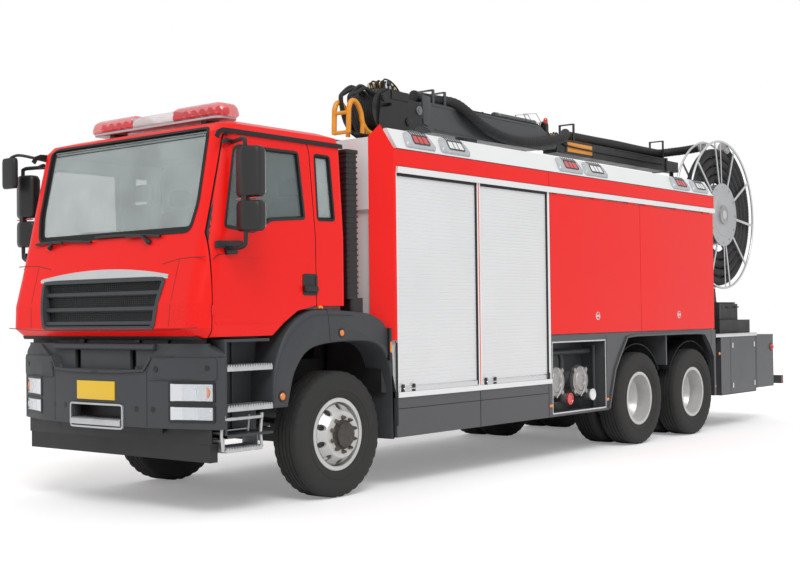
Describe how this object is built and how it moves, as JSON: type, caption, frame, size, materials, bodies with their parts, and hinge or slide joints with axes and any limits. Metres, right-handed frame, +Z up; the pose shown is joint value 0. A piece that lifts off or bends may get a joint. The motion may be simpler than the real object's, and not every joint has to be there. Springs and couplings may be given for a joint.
{
  "type": "three-axle rescue fire truck with roof crane and hose reel",
  "caption": "Cab-over fire truck with shuttered equipment body, lift-up hatches, folding roof crane and rear hose reel.",
  "frame": {"origin": "middle of the truck's overall box, on the ground", "axes": "+Y towards the rear, +X towards the driver's side, +Z up"},
  "size_m": [3.12, 11.26, 3.985],
  "materials": {
    "red_paint": "gloss",
    "white_paint": "gloss",
    "body_grey": "satin",
    "shutter_aluminium": "satin",
    "trim_aluminium": "satin",
    "tread_plate": "satin",
    "dark_plastic": "satin",
    "black_plastic": "matte",
    "tyre": "matte",
    "wheel_silver": "satin",
    "chassis_black": "satin",
    "glass": "gloss",
    "lamp_lens": "gloss",
    "beacon_red": "gloss",
    "seat_fabric": "matte",
    "crane_paint": "satin",
    "crane_black": "satin",
    "bright_steel": "gloss",
    "hose_rubber": "matte",
    "reel_metal": "satin",
    "coupling_metal": "satin"
  },
  "bodies": {
    "root": {"frame": "chassis_black", "powertrain": "chassis_black", "axles": "chassis_black", "bumper": "dark_plastic", "lamps": "lamp_lens", "front_wings": "dark_plastic", "cab_steps": "tread_plate", "body_frame": "body_grey", "body_red_panels": "red_paint", "roof_coaming": "white_paint", "side_rails": "trim_aluminium", "roller_shutters": "shutter_aluminium", "body_skirts": "dark_plastic", "pump_outlets": "coupling_metal", "rear_platform": "white_paint", "reel_stand": "chassis_black", "snorkel": "black_plastic", "crane_base": "crane_black"},
    "cab": {"cab_shell": "red_paint", "cab_glass": "glass", "grille": "dark_plastic", "cab_interior": "seat_fabric", "light_bar": "beacon_red"},
    "reel": {"hose_reel": "reel_metal", "hose_coil": "hose_rubber"},
    "crane_column": {"crane_column": "crane_black"},
    "boom": {"boom_main": "crane_paint", "boom_hose": "hose_rubber"},
    "jib": {"boom_jib": "crane_black", "jib_hose": "hose_rubber"},
    "extension": {"boom_extension": "crane_black"},
    "lift_barrel": {"lift_barrel": "crane_black"},
    "lift_rod": {"lift_rod": "bright_steel"},
    "jib_rod": {"jib_rod": "bright_steel"},
    "door_left": {"door_left": "red_paint", "door_glass_left": "glass", "mirror_left": "black_plastic"},
    "knuckle_left": {"knuckle_left": "chassis_black"},
    "wheel_front_left": {"front_tyre_left": "tyre", "front_wheel_left": "wheel_silver"},
    "wheels_front_left": {"bogie_tyres_front_left": "tyre", "bogie_wheels_front_left": "wheel_silver"},
    "wheels_back_left": {"bogie_tyres_back_left": "tyre", "bogie_wheels_back_left": "wheel_silver"},
    "hatch_front_left": {"hatch_front_left": "red_paint"},
    "hatch_rear_left": {"hatch_rear_left": "red_paint"},
    "door_right": {"door_right": "red_paint", "door_glass_right": "glass", "mirror_right": "black_plastic", "front_mirror": "black_plastic"},
    "knuckle_right": {"knuckle_right": "chassis_black"},
    "wheel_front_right": {"front_tyre_right": "tyre", "front_wheel_right": "wheel_silver"},
    "wheels_front_right": {"bogie_tyres_front_right": "tyre", "bogie_wheels_front_right": "wheel_silver"},
    "wheels_back_right": {"bogie_tyres_back_right": "tyre", "bogie_wheels_back_right": "wheel_silver"},
    "hatch_front_right": {"hatch_front_right": "red_paint"},
    "hatch_rear_right": {"hatch_rear_right": "red_paint"}
  },
  "joints": [
    {"name": "cab_tilt", "type": "hinge", "parent": "root", "child": "cab", "pos_m": [0, -5.435, 1.12], "axis": [1, 0, 0], "range_deg": [0, 50]},
    {"name": "door_left_swing", "type": "hinge", "parent": "cab", "child": "door_left", "pos_m": [1.223, -5.467, 2.2], "axis": [0, 0, -1], "range_deg": [0, 70]},
    {"name": "steer_left", "type": "hinge", "parent": "root", "child": "knuckle_left", "pos_m": [0.85, -3.965, 0.538], "axis": [0, 0, 1], "range_deg": [-35, 35]},
    {"name": "wheel_front_left_spin", "type": "hinge", "parent": "knuckle_left", "child": "wheel_front_left", "pos_m": [1.02, -3.965, 0.538], "axis": [1, 0, 0], "continuous": true},
    {"name": "wheels_front_left_spin", "type": "hinge", "parent": "root", "child": "wheels_front_left", "pos_m": [0.914, 1.26, 0.538], "axis": [1, 0, 0], "continuous": true},
    {"name": "wheels_back_left_spin", "type": "hinge", "parent": "root", "child": "wheels_back_left", "pos_m": [0.914, 2.66, 0.538], "axis": [1, 0, 0], "continuous": true},
    {"name": "hatch_front_left_lift", "type": "hinge", "parent": "root", "child": "hatch_front_left", "pos_m": [1.255, 0.2775, 2.812], "axis": [0, -1, 0], "range_deg": [0, 95]},
    {"name": "hatch_rear_left_lift", "type": "hinge", "parent": "root", "child": "hatch_rear_left", "pos_m": [1.255, 2.2605, 2.812], "axis": [0, -1, 0], "range_deg": [0, 95]},
    {"name": "door_right_swing", "type": "hinge", "parent": "cab", "child": "door_right", "pos_m": [-1.223, -5.467, 2.2], "axis": [0, 0, 1], "range_deg": [0, 70]},
    {"name": "steer_right", "type": "hinge", "parent": "root", "child": "knuckle_right", "pos_m": [-0.85, -3.965, 0.538], "axis": [0, 0, 1], "range_deg": [-35, 35]},
    {"name": "wheel_front_right_spin", "type": "hinge", "parent": "knuckle_right", "child": "wheel_front_right", "pos_m": [-1.02, -3.965, 0.538], "axis": [1, 0, 0], "continuous": true},
    {"name": "wheels_front_right_spin", "type": "hinge", "parent": "root", "child": "wheels_front_right", "pos_m": [-0.914, 1.26, 0.538], "axis": [1, 0, 0], "continuous": true},
    {"name": "wheels_back_right_spin", "type": "hinge", "parent": "root", "child": "wheels_back_right", "pos_m": [-0.914, 2.66, 0.538], "axis": [1, 0, 0], "continuous": true},
    {"name": "hatch_front_right_lift", "type": "hinge", "parent": "root", "child": "hatch_front_right", "pos_m": [-1.255, 0.2775, 2.812], "axis": [0, 1, 0], "range_deg": [0, 95]},
    {"name": "hatch_rear_right_lift", "type": "hinge", "parent": "root", "child": "hatch_rear_right", "pos_m": [-1.255, 2.2605, 2.812], "axis": [0, 1, 0], "range_deg": [0, 95]},
    {"name": "reel_spin", "type": "hinge", "parent": "root", "child": "reel", "pos_m": [0.775, 4.355, 2.88], "axis": [1, 0, 0], "continuous": true},
    {"name": "crane_slew", "type": "hinge", "parent": "root", "child": "crane_column", "pos_m": [0, -1.885, 3.26], "axis": [0, 0, 1], "range_deg": [0, 270]},
    {"name": "crane_lift", "type": "hinge", "parent": "crane_column", "child": "boom", "pos_m": [0, -1.545, 3.7], "axis": [1, 0, 0], "range_deg": [0, 70]},
    {"name": "crane_knuckle", "type": "hinge", "parent": "boom", "child": "jib", "pos_m": [0, 1.185, 3.65], "axis": [1, 0, 0], "range_deg": [-91, 0]},
    {"name": "extension_slide", "type": "slide", "parent": "jib", "child": "extension", "axis": [0, 1, 0], "range_m": [0, 1.1]},
    {"name": "lift_barrel_swing", "type": "hinge", "parent": "crane_column", "child": "lift_barrel", "pos_m": [0, -1.465, 3.29], "axis": [1, 0, 0], "range_deg": [0, 60.5]},
    {"name": "lift_rod_slide", "type": "slide", "parent": "lift_barrel", "child": "lift_rod", "axis": [0, 0.995, 0.0995], "range_m": [0, 0.436]},
    {"name": "jib_rod_slide", "type": "slide", "parent": "boom", "child": "jib_rod", "axis": [0, 1, 0], "range_m": [0, 0.335]}
  ],
  "couplings": [
    {"joint": "steer_right", "follows": "steer_left", "ratio": 1},
    {"joint": "crane_knuckle", "follows": "crane_lift", "ratio": -1.3},
    {"joint": "lift_barrel_swing", "follows": "crane_lift", "ratio": 0.8646},
    {"joint": "lift_rod_slide", "follows": "crane_lift", "m_per_rad": 0.3569},
    {"joint": "jib_rod_slide", "follows": "crane_lift", "m_per_rad": 0.2736}
  ]
}
